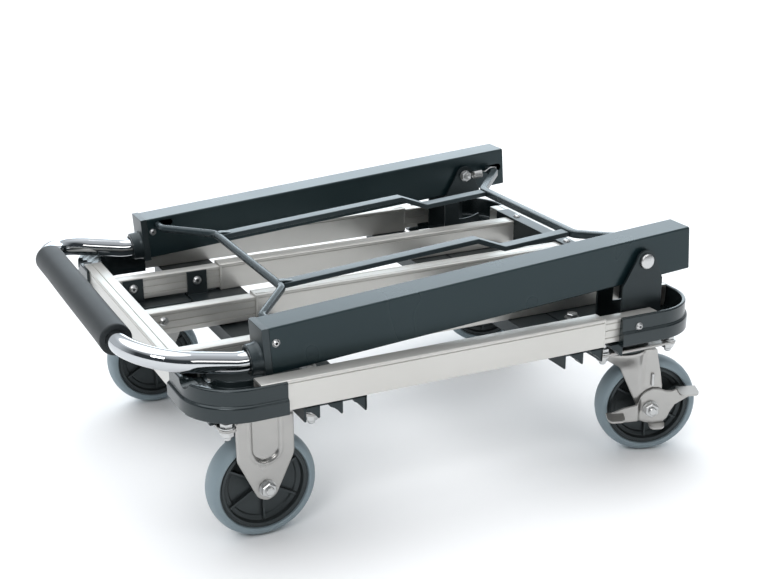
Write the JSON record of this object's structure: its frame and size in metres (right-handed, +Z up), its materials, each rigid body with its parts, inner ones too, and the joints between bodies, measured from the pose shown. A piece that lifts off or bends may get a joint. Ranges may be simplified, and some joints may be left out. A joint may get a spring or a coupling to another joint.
{
  "type": "folding platform cart",
  "caption": "Low platform cart of aluminium rails on four wheels, with an extending deck and a fold-down telescoping push handle.",
  "frame": {"origin": "middle of the whole footprint, on the floor", "axes": "+X along the deck towards the swivel casters and the handle's pivots, +Y to the cart's left, +Z up"},
  "size_m": [0.7206, 0.54, 0.2894],
  "materials": {
    "anodised": "satin anodised, with fine extrusion lines",
    "black_steel": "semi-matt black paint",
    "black_upright": "smooth dark slate coat",
    "black_plastic": "moulded, slightly textured",
    "chrome": "bright plated",
    "zinc": "zinc plated",
    "dark_steel": "grey paint",
    "tyre": "grey rubber",
    "hub": "black moulded",
    "foam": "foam sleeve"
  },
  "bodies": {
    "front_frame": {"front_cross_tube": "anodised", "front_channel": "black_steel", "side_rail_left": "anodised", "side_rail_right": "anodised", "front_corner_left": "black_plastic", "front_corner_right": "black_plastic", "front_caster_mount_left": "black_steel", "front_caster_mount_right": "black_steel", "fixed_fork_left": "zinc", "fixed_fork_right": "zinc", "front_axle_left": "zinc", "front_axle_right": "zinc", "centre_slide_left": "anodised", "centre_slide_middle": "anodised", "centre_slide_right": "anodised"},
    "rear_frame": {"rear_cross_tube": "anodised", "rear_channel": "black_steel", "rear_end_strip": "black_steel", "side_slide_left": "anodised", "side_slide_right": "anodised", "rear_corner_left": "black_plastic", "rear_corner_right": "black_plastic", "rear_caster_mount_left": "black_steel", "rear_caster_mount_right": "black_steel", "swivel_plate_left": "zinc", "swivel_plate_right": "zinc", "pivot_bracket_left": "black_steel", "pivot_bracket_right": "black_steel", "pivot_pin_left": "zinc", "pivot_pin_right": "zinc", "centre_rail_left": "anodised", "centre_rail_middle": "anodised", "centre_rail_right": "anodised"},
    "handle_uprights": {"upright_left": "black_upright", "upright_right": "black_upright", "upright_cap_left": "black_plastic", "upright_cap_right": "black_plastic", "lock_spring_left": "zinc", "lock_spring_right": "zinc"},
    "handle_loop_body": {"handle_loop": "chrome", "foam_grip": "foam"},
    "release_frame": {"release_rod": "dark_steel", "lock_bar": "dark_steel", "release_link_left": "dark_steel", "release_link_right": "dark_steel"},
    "front_wheel_left": {"front_tyre_left": "tyre", "front_hub_left": "hub"},
    "swivel_left": {"swivel_fork_left": "zinc", "rear_axle_left": "zinc"},
    "rear_wheel_left": {"rear_tyre_left": "tyre", "rear_hub_left": "hub"},
    "brake_left": {"brake_lever_left": "zinc"},
    "front_wheel_right": {"front_tyre_right": "tyre", "front_hub_right": "hub"},
    "swivel_right": {"swivel_fork_right": "zinc", "rear_axle_right": "zinc"},
    "rear_wheel_right": {"rear_tyre_right": "tyre", "rear_hub_right": "hub"},
    "brake_right": {"brake_lever_right": "zinc"}
  },
  "joints": [
    {"name": "deck_extend", "type": "slide", "parent": "front_frame", "child": "rear_frame", "axis": [1, 0, 0], "range_m": [0, 0.25]},
    {"name": "handle_fold", "type": "hinge", "parent": "rear_frame", "child": "handle_uprights", "pos_m": [0.2621, 0, 0.2588], "axis": [0, 1, 0], "range_deg": [0, 94]},
    {"name": "handle_extend", "type": "slide", "parent": "handle_uprights", "child": "handle_loop_body", "axis": [-0.9976, 0, -0.0692], "range_m": [0, 0.32]},
    {"name": "release_pull", "type": "slide", "parent": "handle_uprights", "child": "release_frame", "axis": [0.9976, 0, 0.0692], "range_m": [0, 0.016], "stiffness_N_per_m": 1000, "springref_m": -0.02, "deforming": ["lock_spring_left", "lock_spring_right"]},
    {"name": "front_wheel_spin_left", "type": "hinge", "parent": "front_frame", "child": "front_wheel_left", "pos_m": [-0.2069, 0.198, 0.0625], "axis": [0, 1, 0], "continuous": true},
    {"name": "caster_swivel_left", "type": "hinge", "parent": "rear_frame", "child": "swivel_left", "pos_m": [0.2611, 0.2, 0.139], "axis": [0, 0, 1], "continuous": true},
    {"name": "rear_wheel_spin_left", "type": "hinge", "parent": "swivel_left", "child": "rear_wheel_left", "pos_m": [0.29629, 0.18857, 0.0625], "axis": [0.309, 0.9511, 0], "continuous": true},
    {"name": "brake_press_left", "type": "hinge", "parent": "swivel_left", "child": "brake_left", "pos_m": [0.29629, 0.18857, 0.0625], "axis": [0.309, 0.9511, 0], "range_deg": [0, 14]},
    {"name": "front_wheel_spin_right", "type": "hinge", "parent": "front_frame", "child": "front_wheel_right", "pos_m": [-0.2069, -0.198, 0.0625], "axis": [0, 1, 0], "continuous": true},
    {"name": "caster_swivel_right", "type": "hinge", "parent": "rear_frame", "child": "swivel_right", "pos_m": [0.2611, -0.2, 0.139], "axis": [0, 0, 1], "continuous": true},
    {"name": "rear_wheel_spin_right", "type": "hinge", "parent": "swivel_right", "child": "rear_wheel_right", "pos_m": [0.29629, -0.21143, 0.0625], "axis": [0.309, 0.9511, 0], "continuous": true},
    {"name": "brake_press_right", "type": "hinge", "parent": "swivel_right", "child": "brake_right", "pos_m": [0.29629, -0.21143, 0.0625], "axis": [0.309, 0.9511, 0], "range_deg": [0, 14]}
  ]
}
